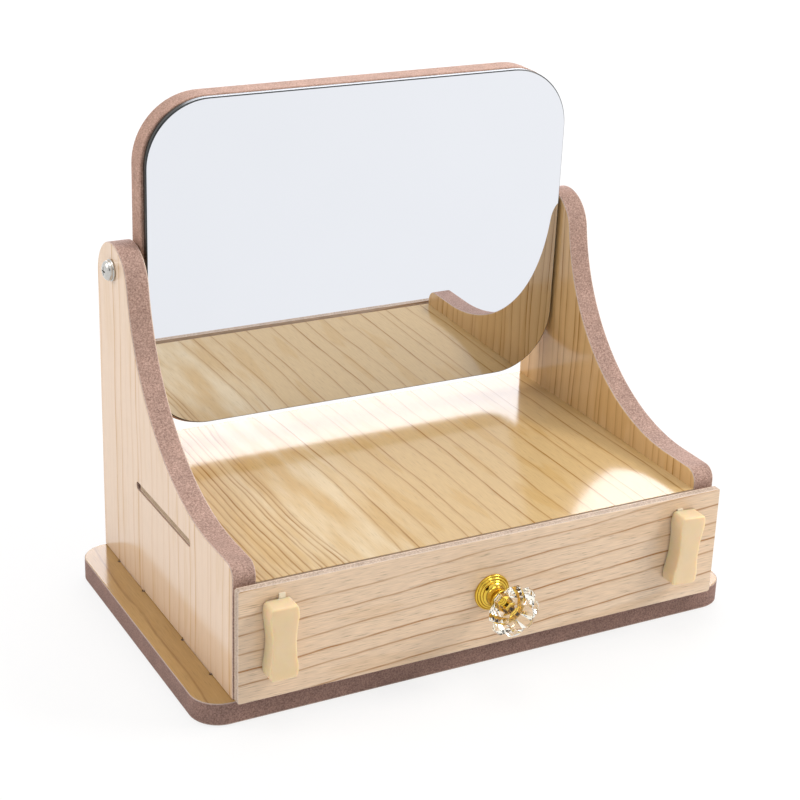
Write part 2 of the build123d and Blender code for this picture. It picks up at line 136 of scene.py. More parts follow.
def growth_lines(tree, across, along, shifted, grain):
    """Growth lines of the figure, 0 to 1, and how far outside its heart a point lies, mm."""
    # The grain wanders from side to side, in long waves and in short ones.
    wander = grain["wander"]
    ripple = grain["ripple"]
    long_noise = grain_noise(tree, shifted, LONG_WAVE, 1.0)
    long_wave = add(tree, "MapRange", [long_noise, 0.0, 1.0, -wander, wander], clamp=False)
    short_noise = grain_noise(tree, shifted, SHORT_WAVE)
    short_wave = add(tree, "MapRange", [short_noise, 0.0, 1.0, -ripple, ripple], clamp=False)
    slant = add(tree, "Math", [along, grain["slant"]], operation="MULTIPLY")
    heart_across, heart_along = grain["heart"]
    u = across
    for step in (long_wave, short_wave, slant, -heart_across):
        u = add(tree, "Math", [u, step], operation="ADD")
    v = add(tree, "Math", [along, heart_along], operation="SUBTRACT")
    v = add(tree, "Math", [v, grain["flatness"]], operation="MULTIPLY")
    from_heart = add(tree, "CombineXYZ", [u, v])
    ring = add(tree, "VectorMath", [from_heart], operation="LENGTH").outputs["Value"]
    beyond = add(tree, "Math", [ring, grain["heart_radius"]], operation="SUBTRACT")

    # Rings lie closer on one side of the heart than on the other, and each strays a little.
    sides = [u, -HEART_HALF, HEART_HALF, grain["pitch_low"], grain["pitch_high"]]
    pitch = add(tree, "MapRange", sides, interpolation_type="SMOOTHSTEP")
    phase = add(tree, "Math", [beyond, pitch], operation="DIVIDE")
    index = add(tree, "Math", [phase], operation="ROUND")
    draw = add(tree, "CombineXYZ", [index, grain["seed"]])
    chance = add(tree, "TexWhiteNoise", {"Vector": draw}, noise_dimensions="2D")
    straying = [chance.outputs["Value"], 0.0, 1.0, -LINE_STRAY, LINE_STRAY]
    stray = add(tree, "MapRange", straying, clamp=False)
    offset = add(tree, "Math", [phase, index], operation="SUBTRACT")
    offset = add(tree, "Math", [offset, stray], operation="SUBTRACT")
    offset = add(tree, "Math", [offset, pitch], operation="MULTIPLY")

    # A line has a thin core, and a soft shade on the side towards the heart.
    away = add(tree, "Math", [offset], operation="ABSOLUTE")
    coring = [away, LINE_CORE, grain["line"], 1.0, 0.0]
    core = add(tree, "MapRange", coring, interpolation_type="SMOOTHSTEP")
    shading = [offset, -grain["shade"], 0.0, 0.0, grain["shade_strength"]]
    shade = add(tree, "MapRange", shading, interpolation_type="SMOOTHSTEP")
    inwards = add(tree, "Math", [offset, 0.0], operation="LESS_THAN")
    shade = add(tree, "Math", [shade, inwards], operation="MULTIPLY")
    line = add(tree, "Math", [core, shade], operation="ADD")

    # Lines differ in weight, fade and return along their length, and leave the heart open.
    odds = add(tree, "Math", [chance.outputs["Color"], WEIGHT_POWER], operation="POWER")
    weight = add(tree, "MapRange", [odds, 0.0, 1.0, grain["faint"], 1.0])
    fade = add(tree, "MapRange", [grain_noise(tree, shifted, LINE_FADE), 0.3, 0.6, 0.55, 1.0])
    open_heart = add(tree, "MapRange", [phase, -0.9, -0.4, 0.0, 1.0])
    for share in (weight, fade, open_heart):
        line = add(tree, "Math", [line, share], operation="MULTIPLY")
    line.use_clamp = True
    return line, beyond


def printed_wood(tree, across, along, shifted, fibres, grain):
    """Printed wood: warmer away from the heart, with fine fibres and short dark pores."""
    line, beyond = growth_lines(tree, across, along, shifted, grain)
    patches = add(tree, "MapRange", [grain_noise(tree, shifted, TONE_PATCH), 0.35, 0.65])
    outside = add(tree, "MapRange", [beyond, 2.0, 16.0, 0.0, 0.75])
    warmth = add(tree, "Math", [patches, outside], operation="MAXIMUM")
    tints = {"Factor": warmth, COLOUR_A: linear(grain["pale"]), COLOUR_B: linear(grain["warm"])}
    wood = add(tree, "Mix", tints, data_type="RGBA").outputs[COLOUR_OUT]
    fibre = grain["fibre"]
    fibre_tone = add(tree, "MapRange", [fibres, 0.3, 0.7, 1 - fibre, 1 + 0.5 * fibre])
    pore_tone = add(tree, "MapRange", [fibres, 0.24, 0.33, 1 - grain["pore"], 1.0])
    for tone in (fibre_tone, pore_tone):
        wood = add(tree, "VectorMath", {0: wood, "Scale": tone}, operation="SCALE")
    inking = {"Factor": line, COLOUR_A: wood, COLOUR_B: linear(grain["ink"])}
    return add(tree, "Mix", inking, data_type="RGBA").outputs[COLOUR_OUT]


def papered_board(name, centre, across_grain, along_grain, thickness, grain):
    """Wood-grain paper on the faces of a board, satin, and dull bare fibreboard elsewhere.

    The board's own frame has X across the grain, Y along it and Z through the
    thickness, in millimetres from the board's centre.
    """
    material, tree, shader = new_material(name)
    source = add(tree, "TexCoord").outputs["Object"]
    through_board = Vector(across_grain).cross(Vector(along_grain))
    turn = Matrix((across_grain, along_grain, through_board)).transposed().to_euler()
    board_frame = {"Vector": source, "Location": centre, "Rotation": turn, "Scale": (MM, MM, MM)}
    place = add(tree, "Mapping", board_frame, vector_type="TEXTURE")
    across, along, through = add(tree, "SeparateXYZ", [place]).outputs
    seed = grain["seed"]
    shifted = add(tree, "VectorMath", [place, (seed, 3 * seed, 0)], operation="ADD")
    fibres = grain_noise(tree, shifted, FIBRE)
    paper = printed_wood(tree, across, along, shifted, fibres, grain)

    # Paper lies on both faces, or on the back alone where the front is bare.
    depth = through
    if not grain.get("bare_front"):
        depth = add(tree, "Math", [through], operation="ABSOLUTE")
    face = thickness / 2
    on_face = add(tree, "Math", [depth, face - PAPER_EDGE], operation="GREATER_THAN")
    bare = fibreboard_colour(tree, place, grain["edge_dark"], grain["edge_light"])
    # Painted highlight: next to each face the bare edge is mixed towards near white, as if its eased arris
    # caught the light.
    arris_highlight = add(tree, "MapRange", [depth, face - ARRIS_HIGHLIGHT_DEPTH, face - PAPER_EDGE, 0.0, 0.45])
    arris_highlighting = {"Factor": arris_highlight, COLOUR_A: bare, COLOUR_B: linear("#F1E2D6")}
    bare = add(tree, "Mix", arris_highlighting, data_type="RGBA").outputs[COLOUR_OUT]
    covering = {"Factor": on_face, COLOUR_A: bare, COLOUR_B: paper}
    colour = add(tree, "Mix", covering, data_type="RGBA").outputs[COLOUR_OUT]

    # Fibres vary the sheen of the paper a little, and the bare board is rough.
    sheen = grain["gloss"]
    gloss = add(tree, "MapRange", [fibres, 0.3, 0.7, sheen + 0.03, sheen - 0.02])
    rough = add(tree, "Mix", {"Factor": on_face, NUMBER_A: 0.8, NUMBER_B: gloss}, data_type="FLOAT")
    pitting = {"Vector": place, "Scale": PITS_PER_MM, "Detail": 3.0, "Roughness": 0.7}
    pits = add(tree, "TexNoise", pitting)
    ribs = add(tree, "Math", [fibres, 0.15], operation="MULTIPLY")
    relief = {"Factor": on_face, NUMBER_A: pits, NUMBER_B: ribs}
    height = add(tree, "Mix", relief, data_type="FLOAT")
    bump = add(tree, "Bump", {"Height": height, "Strength": 0.35, "Distance": 0.08 * MM})
    connect(tree, shader, {"Base Color": colour, "Roughness": rough, "Normal": bump})
    return material


def dress(node, material):
    """Give a node of the frame its finish."""
    nodes[node].data.materials.clear()
    nodes[node].data.materials.append(material)


def middle(node):
    """Middle of a node's box."""
    low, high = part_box(node)
    return (low + high) / 2


base_grain = {
    "seed": 11.0, "heart": (-60.0, -8.0), "flatness": 0.1, "heart_radius": 48.0, "slant": 0.0,
    "pitch_low": 12.0, "pitch_high": 11.0, "wander": 3.0, "ripple": 0.8, "line": 0.7, "shade": 3.5,
    "shade_strength": 0.35, "faint": 0.35, "pale": "#BA965E", "warm": "#B38E56", "ink": "#7A5020",
    "fibre": 0.08, "pore": 0.12, "gloss": 0.15, "edge_dark": "#6A4E45", "edge_light": "#A38479",
}
base_centre = middle("base_board")
base_paper = papered_board("wood_grain_paper_base", base_centre, X_AXIS, Y_AXIS, THICK_BOARD, base_grain)
dress("base_board", base_paper)


# Shelf board. A 3 mm fibreboard over the drawer, papered with a flat-sawn
# figure whose heart lies left of the middle. Its tenons go through the
# slots of the side panels.
THIN_BOARD = 3.0  # stock of the shelf, the back panel and the drawer, mm
shelf_grain = {
    "seed": 4.0, "heart": (-46.0, -8.0), "flatness": 0.13, "heart_radius": 11.5, "slant": 0.0,
    "pitch_low": 2.7, "pitch_high": 8.8, "wander": 1.4, "ripple": 0.4, "line": 0.5, "shade": 1.8,
    "shade_strength": 0.4, "faint": 0.4, "pale": "#DBC59F", "warm": "#CAA973", "ink": "#94661F",
    "fibre": 0.07, "pore": 0.14, "gloss": 0.13, "edge_dark": "#8A7258", "edge_light": "#C6AE92",
}
shelf_centre = middle("shelf_board")
shelf_paper = papered_board(
    "wood_grain_paper_shelf", shelf_centre, X_AXIS, Y_AXIS, THIN_BOARD, shelf_grain
)
dress("shelf_board", shelf_paper)


# Side panels. Two 9 mm fibreboards with a hollow front sweep and a round
# head, papered with upright straight grain. The inner face of the right one
# shows, and is printed warmer. Tenons fix them in the base.
panel_grain = {
    "heart": (-140.0, 0.0), "flatness": 0.05, "heart_radius": 0.0, "slant": 0.0,
    "pitch_low": 5.2, "pitch_high": 5.2, "wander": 2.2, "ripple": 0.3, "line": 0.55, "shade": 3.0,
    "shade_strength": 0.5, "faint": 0.0, "pale": "#F1DBC9", "warm": "#E4C8A9", "ink": "#C99B66",
    "fibre": 0.035, "pore": 0.03, "gloss": 0.15, "edge_dark": "#7E6055", "edge_light": "#CAAA9C",
}
left_grain = dict(panel_grain, seed=21.0)
right_grain = dict(
    panel_grain, seed=33.0, pale="#E9C99C", warm="#DDB780", ink="#A87838", faint=0.25, pitch_low=4.8
)
for side, grain in (("left", left_grain), ("right", right_grain)):
    board = side + "_side_panel"
    paper = papered_board("wood_grain_paper_" + side, middle(board), Y_AXIS, Z_AXIS, THICK_BOARD, grain)
    dress(board, paper)


# Back panel. A 3 mm fibreboard let in between the side panels, which closes
# the drawer bay and squares the cabinet.
back_grain = dict(
    panel_grain, seed=45.0, pale="#E8D2AC", warm="#DFC398", heart=(-60.0, 0.0), pitch_low=7.0
)
back_centre = middle("back_panel")
back_paper = papered_board("wood_grain_paper_back", back_centre, Z_AXIS, X_AXIS, THIN_BOARD, back_grain)
dress("back_panel", back_paper)


# Drawer box. Four finger-jointed 3 mm fibreboard walls and a floor whose
# tabs sit in notches of the side walls, all glued.
box_grain = dict(panel_grain, seed=52.0, pale="#E8D2AC", warm="#DFC398", heart=(-70.0, 0.0))
for node, across_grain, along_grain in (
    ("drawer_box_front", Z_AXIS, X_AXIS),
    ("drawer_box_back", Z_AXIS, X_AXIS),
    ("drawer_left_side", Z_AXIS, Y_AXIS),
    ("drawer_right_side", Z_AXIS, Y_AXIS),
    ("drawer_floor", X_AXIS, Y_AXIS),
):
    name = "wood_grain_paper_" + node
    paper = papered_board(name, middle(node), across_grain, along_grain, THIN_BOARD, box_grain)
    dress(node, paper)


# Drawer front. The 3 mm show front, papered with level grain, glued over the
# box and covering the front edges of the side panels.
front_grain = {
    "seed": 7.0, "heart": (-34.0, -10.0), "flatness": 0.03, "heart_radius": 2.0, "slant": -0.05,
    "pitch_low": 7.2, "pitch_high": 7.2, "wander": 1.6, "ripple": 0.45, "line": 0.5, "shade": 1.4,
    "shade_strength": 0.35, "faint": 0.4, "pale": "#EEDAC4", "warm": "#DDC1A2", "ink": "#9A6526",
    "fibre": 0.13, "pore": 0.3, "gloss": 0.22, "edge_dark": "#9A8270", "edge_light": "#D8C6B4",
}
front_centre = middle("drawer_front")
front_paper = papered_board(
    "wood_grain_paper_front", front_centre, Z_AXIS, X_AXIS, THIN_BOARD, front_grain
)
dress("drawer_front", front_paper)


# Knob. A turned metal rosette with gold-coloured plating carries a pressed
# glass crystal in its cup. A zinc-plated screw with a washer holds it from
# inside the drawer.
FORWARDS = (0, -1, 0)
BACKWARDS = (0, 1, 0)
ROUND_SIDES = 72
WEAR_PER_METRE = 900.0  # clouds in the gold of about 1.1 mm each
PAINTED_RING_FOLD = 0.47  # half the pitch of the painted dark rings, a painted reflection, mm
PAINTED_RING_REACH = 0.2  # a painted dark ring fades out this far from its middle, mm
FOIL_HEIGHT = 9.05  # the crystal's seat is foiled up to this height over the drawer front, mm
# Half profile of the rosette: radius and height over the drawer front, mm.
ROSETTE = (
    (7.1, 0.0), (7.1, 0.4), (7.0, 0.75), (6.8, 0.98), (6.55, 1.0), (6.42, 0.86), (6.3, 1.0), (6.22, 1.3),
    (5.98, 1.52), (5.68, 1.54), (5.5, 1.4), (5.38, 1.54), (5.28, 1.84), (5.02, 2.04), (4.7, 2.08), (4.5, 2.0),
    (4.1, 2.35), (3.72, 2.9), (3.45, 3.6), (3.28, 4.4), (3.25, 5.2), (3.4, 5.9), (3.8, 6.6), (4.4, 7.15),
    (4.82, 7.6), (4.9, 8.2), (4.86, 8.68), (4.72, 8.8), (4.5, 8.8), (4.36, 8.68), (4.32, 7.7), (0.01, 7.62),
)


def clouded(tree, source, per_metre, first, second, detail=2.0):
    """A colour that drifts between two in small clouds, and the noise of the clouds."""
    clouds = add(tree, "TexNoise", {"Vector": source, "Scale": per_metre, "Detail": detail})
    tints = {"Factor": clouds, COLOUR_A: first, COLOUR_B: second}
    return add(tree, "Mix", tints, data_type="RGBA").outputs[COLOUR_OUT], clouds


def gold(place):
    """Gold-coloured plating on turned metal: bright rings between painted dark rings, which stand in for dark
    surroundings reflected in the turning.
    """
    material, tree, shader = new_material("gold_plating")
    source = add(tree, "TexCoord").outputs["Object"]
    on_axis = {"Vector": source, "Location": place, "Scale": (MM, 1, MM)}
    local = add(tree, "Mapping", on_axis, vector_type="TEXTURE")
    flat = add(tree, "VectorMath", [local, (1, 0, 1)], operation="MULTIPLY")
    radius = add(tree, "VectorMath", [flat], operation="LENGTH").outputs["Value"]
    # Painted reflection: dark brown rings, one every 0.94 mm of radius, stand in for dark surroundings
    # mirrored by the turned rings.
    fold = add(tree, "Math", [radius, PAINTED_RING_FOLD], operation="PINGPONG")
    painted_dark_rings = add(tree, "MapRange", [fold, 0.0, PAINTED_RING_REACH, 0.75, 0.0])
    tint, wear = clouded(tree, source, WEAR_PER_METRE, linear("#EBCB5C"), linear("#D3AB35"))
    tints = {"Factor": painted_dark_rings, COLOUR_A: tint, COLOUR_B: linear("#5A3A10")}
    tint = add(tree, "Mix", tints, data_type="RGBA").outputs[COLOUR_OUT]
    rough = add(tree, "MapRange", [wear, 0.0, 1.0, 0.06, 0.14])
    connect(tree, shader, {"Base Color": tint, "Roughness": rough, "Metallic": 1.0})
    return material


def turned(name, profile, sides, closed=False):
    """Turn a piece about Z from (radius, height) pairs, in millimetres."""
    bpy.ops.object.select_all(action="DESELECT")
    radius, height = profile[0]
    fill = "NOTHING" if closed else "NGON"
    bpy.ops.mesh.primitive_circle_add(vertices=sides, radius=radius * MM, fill_type=fill, location=(0, 0, 0))
    piece = bpy.context.object
    piece.name = name
    bpy.ops.object.mode_set(mode="EDIT")
    bpy.ops.mesh.select_all(action="SELECT")
    bpy.ops.transform.translate(value=(0, 0, height * MM))
    extrude = bpy.ops.mesh.extrude_edges_move if closed else bpy.ops.mesh.extrude_region_move
    for next_radius, next_height in profile[1:]:
        extrude()
        bpy.ops.transform.translate(value=(0, 0, (next_height - height) * MM))
        share = next_radius / radius
        bpy.ops.transform.resize(value=(share, share, 1), center_override=(0, 0, 0))
        radius, height = next_radius, next_height
    bpy.ops.mesh.select_all(action="SELECT")
    bpy.ops.mesh.remove_doubles(threshold=0.001 * MM)
    bpy.ops.mesh.normals_make_consistent(inside=False)
    bpy.ops.object.mode_set(mode="OBJECT")
    return piece


def select_only(piece):
    """Select one piece and make it the active one."""
    bpy.ops.object.select_all(action="DESELECT")
    piece.select_set(True)
    bpy.context.view_layer.objects.active = piece


def set_in_place(piece, placing):
    """Move a piece by a matrix, and put the move into its mesh."""
    piece.matrix_world = placing
    select_only(piece)
    bpy.ops.object.transform_apply(location=True, rotation=True, scale=True)


def facing(place, outwards):
    """The matrix that sets a piece turned about Z on its place, with Z along a new axis."""
    turn = Vector(outwards).to_track_quat("Z", "Y").to_matrix().to_4x4()
    return Matrix.Translation(place) @ turn


def finish_piece(piece, material, body, replaced):
    """Give a new piece its material and its place in the frame."""
    piece.data.materials.clear()
    piece.data.materials.append(material)
    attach(piece, body)
    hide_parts(replaced)


knob_place = middle("knob_rosette")
knob_place.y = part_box("knob_rosette")[1].y
rosette = turned("gold_rosette", ROSETTE, ROUND_SIDES)
bpy.ops.object.shade_smooth_by_angle(angle=math.radians(50))
set_in_place(rosette, facing(knob_place, FORWARDS))
finish_piece(rosette, gold(knob_place), "drawer", "knob_rosette")


def crystal():
    """Clear pressed glass with sharp facets, foiled gold on its seat as such knobs are."""
    material, tree, shader = new_material("cut_crystal_glass")
    clear = {"Base Color": linear("#FFFBEF"), "Roughness": 0.0, "IOR": 1.5, "Transmission Weight": 1.0}
    connect(tree, shader, clear)
    gilt = {"Base Color": linear("#E9C65A"), "Metallic": 1.0, "Roughness": 0.12}
    foil = add(tree, "BsdfPrincipled", gilt)
    source = add(tree, "TexCoord").outputs["Object"]
    depth = add(tree, "SeparateXYZ", [source]).outputs["Y"]
    seat = add(tree, "Math", [depth, knob_place.y - FOIL_HEIGHT * MM], operation="GREATER_THAN")
    blend = add(tree, "MixShader", [seat, shader, foil])
    connect(tree, tree.nodes["Material Output"], {"Surface": blend})
    return material


dress("knob_crystal", crystal())
SPOTS_PER_METRE = 1400.0  # spots in the zinc of about 0.7 mm each


def zinc():
    """Bright zinc plating on a steel screw: cool grey with a soft sheen."""
    material, tree, shader = new_material("zinc_plating")
    source = add(tree, "TexCoord").outputs["Object"]
    tint, spots = clouded(tree, source, SPOTS_PER_METRE, linear("#D4D3CF"), linear("#B9B8B4"))
    rough = add(tree, "MapRange", [spots, 0.0, 1.0, 0.18, 0.32])
    connect(tree, shader, {"Base Color": tint, "Roughness": rough, "Metallic": 1.0})
    return material


zinc_plating = zinc()
SCREW_SIDES = 56
SHANK_RADIUS = 2.0  # of all three screws, mm
# The cutter of a cross recess: its length and width in head radii, and its
# height and the height of its middle in head heights.
RECESS_LENGTH = 1.05
RECESS_WIDTH = 0.2
RECESS_HEIGHT = 1.1
RECESS_MIDDLE = 0.75
RECESS_TAPER = 0.45  # its foot is this share of its top


def recess_cutter(head, height, turn):
    """One arm of a cross recess: a block across the head that narrows downwards."""
    bpy.ops.object.select_all(action="DESELECT")
    middle_height = RECESS_MIDDLE * height * MM
    bpy.ops.mesh.primitive_cube_add(size=1, location=(0, 0, middle_height), rotation=(0, 0, turn))
    cutter = bpy.context.object
    cutter.scale = (RECESS_LENGTH * head * MM, RECESS_WIDTH * head * MM, RECESS_HEIGHT * height * MM)
    bpy.ops.object.transform_apply(location=True, rotation=True, scale=True)
    bpy.ops.object.mode_set(mode="EDIT")
    bpy.ops.mesh.select_all(action="DESELECT")
    bpy.ops.object.mode_set(mode="OBJECT")
    for vertex in cutter.data.vertices:
        vertex.select = vertex.co.z < 0.5 * height * MM
    bpy.ops.object.mode_set(mode="EDIT")
    bpy.ops.transform.resize(value=(RECESS_TAPER, RECESS_TAPER, 1), center_override=(0, 0, 0))
    bpy.ops.object.mode_set(mode="OBJECT")
    return cutter


def pan_head_screw(name, length, head, height):
    """A pan head screw along Z with a cross recess, its head above zero."""
    shank = SHANK_RADIUS
    profile = (
        (0.15 * shank, -length), (0.55 * shank, -length + 1.0), (shank, -length + 2.4), (shank, 0.0),
        (head, 0.0), (head, 0.34 * height), (0.97 * head, 0.5 * height), (0.88 * head, 0.7 * height),
        (0.72 * head, 0.87 * height), (0.5 * head, 0.97 * height), (0.25 * head, height), (0.01, height),
    )
    screw = turned(name, profile, SCREW_SIDES)
    for cutter in [recess_cutter(head, height, turn) for turn in (0, math.pi / 2)]:
        recess = screw.modifiers.new("recess", "BOOLEAN")
        recess.operation = "DIFFERENCE"
        recess.object = cutter
        select_only(screw)
        bpy.ops.object.modifier_apply(modifier=recess.name)
        bpy.data.objects.remove(cutter)
    bpy.ops.object.shade_smooth_by_angle(angle=math.radians(35))
    return screw


def flat_washer(name, outer, inner, thickness):
    """A stamped washer on the XY plane, with its edges a little rounded."""
    ease = 0.15 * thickness
    profile = (
        (inner, ease), (inner + ease, 0.0), (outer - ease, 0.0), (outer, ease), (outer, thickness - ease),
        (outer - ease, thickness), (inner + ease, thickness), (inner, thickness - ease), (inner, ease),
    )
    ring = turned(name, profile, 64, closed=True)
    bpy.ops.object.shade_smooth_by_angle(angle=math.radians(50))
    return ring


KNOB_WASHER = (4.8, 2.2)  # outer and inner radius, mm
KNOB_SCREW_HEAD = 3.9  # radius, mm
washer_low, washer_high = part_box("knob_washer")
inside_place = Vector((0, washer_low.y, knob_place.z))
ring = flat_washer("knob_flat_washer", *KNOB_WASHER, (washer_high.y - washer_low.y) / MM)
set_in_place(ring, facing(inside_place, BACKWARDS))
finish_piece(ring, zinc_plating, "drawer", "knob_washer")
inside_place.y = washer_high.y
tip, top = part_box("knob_screw")
length = (inside_place.y - tip.y) / MM
screw = pan_head_screw("knob_pan_screw", length, KNOB_SCREW_HEAD, (top.y - inside_place.y) / MM)
set_in_place(screw, facing(inside_place, BACKWARDS))
finish_piece(screw, zinc_plating, "drawer", "knob_screw")


# Grips. Two waisted pulls of cream moulded plastic, each stuck on the drawer
# front with double-sided foam tape, the right one a little askew. White foam
# tape also holds the mirror glass on its board.
GRIP_SIZE = (10.8, 7.0, 28.4)  # width over the ends, depth and height, mm
GRIP_CAGE = 9.0  # the cage is this deep, so that its round back can be cut off flat, mm
GRIP_END = 0.86  # width of the foot and of the top, as a share
GRIP_ROUND = 1.1  # bevel on the edges of the cage, mm
GRIP_ASKEW = 4.4  # the right grip's turn, degrees
CREAM_PER_METRE = 160.0  # clouds in the plastic of about 6 mm each
CELLS_PER_METRE = 3000.0  # cells in the foam of about 0.3 mm each
# Heights from the foot to the top of the cage with the width at each, as shares.
GRIP_LEVELS = (
    (0.05, 1.0), (0.15, 1.04), (0.3, 0.9), (0.5, 0.84), (0.7, 0.92), (0.84, 1.04), (0.95, 1.0),
    (1.0, GRIP_END),
)


def cream():
    """Cream moulded plastic: satin, a little translucent."""
    material, tree, shader = new_material("cream_moulded_plastic")
    source = add(tree, "TexCoord").outputs["Object"]
    tint, _ = clouded(tree, source, CREAM_PER_METRE, linear("#E6D2AF"), linear("#DDC79E"))
    connect(tree, shader, {"Base Color": tint, "Roughness": 0.38})
    deep = {"Subsurface Weight": 0.7, "Subsurface Radius": (1.0, 0.5, 0.18), "Subsurface Scale": 4.0 * MM}
    connect(tree, shader, deep)
    return material


def waisted_grip(name):
    """Draw a cage up level by level, soften it by subdivision and cut its back flat."""
    width, depth, height = [size * MM for size in GRIP_SIZE]
    cage = GRIP_CAGE * MM
    bpy.ops.object.select_all(action="DESELECT")
    bpy.ops.mesh.primitive_plane_add(size=1, location=(0, (cage - depth) / 2, -height / 2))
    piece = bpy.context.object
    piece.name = name
    piece.scale = (GRIP_END * width, cage, 1)
    bpy.ops.object.transform_apply(location=True, rotation=True, scale=True)
    bpy.ops.object.mode_set(mode="EDIT")
    bpy.ops.mesh.select_all(action="SELECT")
    share, rise = GRIP_END, 0.0
    for next_rise, next_share in GRIP_LEVELS:
        bpy.ops.mesh.extrude_region_move()
        bpy.ops.transform.translate(value=(0, 0, (next_rise - rise) * height))
        bpy.ops.transform.resize(value=(next_share / share, 1, 1), center_override=(0, 0, 0))
        share, rise = next_share, next_rise
    bpy.ops.mesh.select_all(action="SELECT")
    bpy.ops.mesh.normals_make_consistent(inside=False)
    bpy.ops.mesh.bevel(offset=GRIP_ROUND * MM, segments=2, affect="EDGES", clamp_overlap=True)
    bpy.ops.object.mode_set(mode="OBJECT")
    soften = piece.modifiers.new("soften", "SUBSURF")
    soften.levels = 2
    soften.render_levels = 2
    bpy.ops.object.modifier_apply(modifier=soften.name)
    bpy.ops.object.mode_set(mode="EDIT")
    bpy.ops.mesh.select_all(action="SELECT")
    bpy.ops.mesh.bisect(plane_co=(0, depth / 2, 0), plane_no=(0, 1, 0), use_fill=True, clear_outer=True)
    bpy.ops.object.mode_set(mode="OBJECT")
    bpy.ops.object.shade_smooth_by_angle(angle=math.radians(50))
    return piece


cream_plastic = cream()
for side, askew in (("left", 0.0), ("right", GRIP_ASKEW)):
    grip = waisted_grip(side + "_moulded_grip")
    turn = Matrix.Rotation(math.radians(askew), 4, "Y")
    set_in_place(grip, Matrix.Translation(middle(side + "_grip")) @ turn)
    finish_piece(grip, cream_plastic, "drawer", side + "_grip")


def foam():
    """White double-sided foam tape: matt, with fine cells."""
    material, tree, shader = new_material("white_foam_tape")
    source = add(tree, "TexCoord").outputs["Object"]
    cells = add(tree, "TexVoronoi", {"Vector": source, "Scale": CELLS_PER_METRE}).outputs["Distance"]
    tints = {"Factor": cells, COLOUR_A: linear("#F6EEDC"), COLOUR_B: linear("#EBE2CC")}
    tint = add(tree, "Mix", tints, data_type="RGBA").outputs[COLOUR_OUT]
    connect(tree, shader, {"Base Color": tint, "Roughness": 0.7})
    return material


foam_tape = foam()
for node in ("left_grip_tape", "right_grip_tape", "mirror_tape_strips"):
    dress(node, foam_tape)


# Mirror backing board. A 9 mm fibreboard with rounded corners, bare on its
# front and edges and papered on its back. It hangs between the side panels
# on its two pivot screws and leans a little forwards at rest.
LEAN = math.radians(0.8)
UP_THE_BOARD = (0, -math.sin(LEAN), math.cos(LEAN))
backing_grain = dict(panel_grain, seed=61.0, bare_front=True, edge_dark="#8F6B5C", edge_light="#CDAA98")
backing_centre = middle("mirror_backing_board")
backing_paper = papered_board(
    "wood_grain_paper_backing", backing_centre, UP_THE_BOARD, X_AXIS, THICK_BOARD, backing_grain
)
dress("mirror_backing_board", backing_paper)


# Mirror glass. A silvered plate with rounded corners and a fine ground arris
# round its front, held on its board by three strips of foam tape.
glass_low, glass_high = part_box("mirror_glass")
GLASS_WIDTH = (glass_high.x - glass_low.x) / MM
GLASS_HEIGHT = 129.0  # along the plate, mm, as are the next three
GLASS_THICKNESS = 2.4
GLASS_CORNER = 25.0
GLASS_BEVEL = 0.4
HAZE_PER_METRE = 40.0  # clouds in the haze of about 25 mm each
HAZE_LIFT = 1.012  # a face drifts to this many times as light


def mirror_material(name, tint, metallic, roughness):
    """A clean face of the glass plate, in one even finish."""
    material, tree, shader = new_material(name)
    source = add(tree, "TexCoord").outputs["Object"]
    lighter = [min(1.0, HAZE_LIFT * v) for v in linear(tint)]
    tone, _ = clouded(tree, source, HAZE_PER_METRE, linear(tint), lighter, detail=1.0)
    connect(tree, shader, {"Base Color": tone, "Metallic": metallic, "Roughness": roughness})
    return material


def bevelled_plate(name):
    """Round the corners of a plate in the XZ plane, thicken it and grind its front edge."""
    bpy.ops.object.select_all(action="DESELECT")
    bpy.ops.mesh.primitive_plane_add(size=1, location=(0, 0, 0), rotation=(math.pi / 2, 0, 0))
    piece = bpy.context.object
    piece.name = name
    piece.scale = (GLASS_WIDTH * MM, GLASS_HEIGHT * MM, 1)
    bpy.ops.object.transform_apply(location=True, rotation=True, scale=True)
    bpy.ops.object.mode_set(mode="EDIT")
    bpy.ops.mesh.select_all(action="SELECT")
    bpy.ops.mesh.bevel(offset=GLASS_CORNER * MM, segments=24, affect="VERTICES")
    bpy.ops.mesh.select_all(action="SELECT")
    bpy.ops.transform.translate(value=(0, GLASS_THICKNESS / 2 * MM, 0))
    for rise in (GLASS_THICKNESS - GLASS_BEVEL, GLASS_BEVEL):
        bpy.ops.mesh.extrude_region_move()
        bpy.ops.transform.translate(value=(0, -rise * MM, 0))
    across = 1 - 2 * GLASS_BEVEL / GLASS_WIDTH
    upwards = 1 - 2 * GLASS_BEVEL / GLASS_HEIGHT
    bpy.ops.transform.resize(value=(across, 1, upwards), center_override=(0, 0, 0))
    bpy.ops.mesh.select_all(action="SELECT")
    bpy.ops.mesh.normals_make_consistent(inside=False)
    bpy.ops.object.mode_set(mode="OBJECT")
    return piece


def plate_finish(face):
    """Finish of a face: 0 the silvered front, 1 the ground arris and the back, 2 the cut rim."""
    if abs(face.normal.y) < 0.2:
        return 2
    return 1 if face.normal.y > -0.99 else 0


glass = bevelled_plate("bevelled_mirror_glass")
finishes = [plate_finish(face) for face in glass.data.polygons]
bpy.ops.object.shade_smooth_by_angle(angle=math.radians(20))
set_in_place(glass, Matrix.Translation((glass_low + glass_high) / 2) @ Matrix.Rotation(LEAN, 4, "X"))
silver = mirror_material("silvered_glass", "#E4E7ED", 1.0, 0.0)
finish_piece(glass, silver, "mirror", "mirror_glass")
# Painted reflection: the ground arris and the back get a near-black grey, standing in for the dark
# surroundings that the arris would mirror.
glass.data.materials.append(mirror_material("ground_arris_painted_dark", "#2B2F31", 0.0, 0.3))
glass.data.materials.append(mirror_material("dark_cut_edge", "#11130F", 0.0, 0.25))
for face, finish in zip(glass.data.polygons, finishes):
    face.material_index = finish


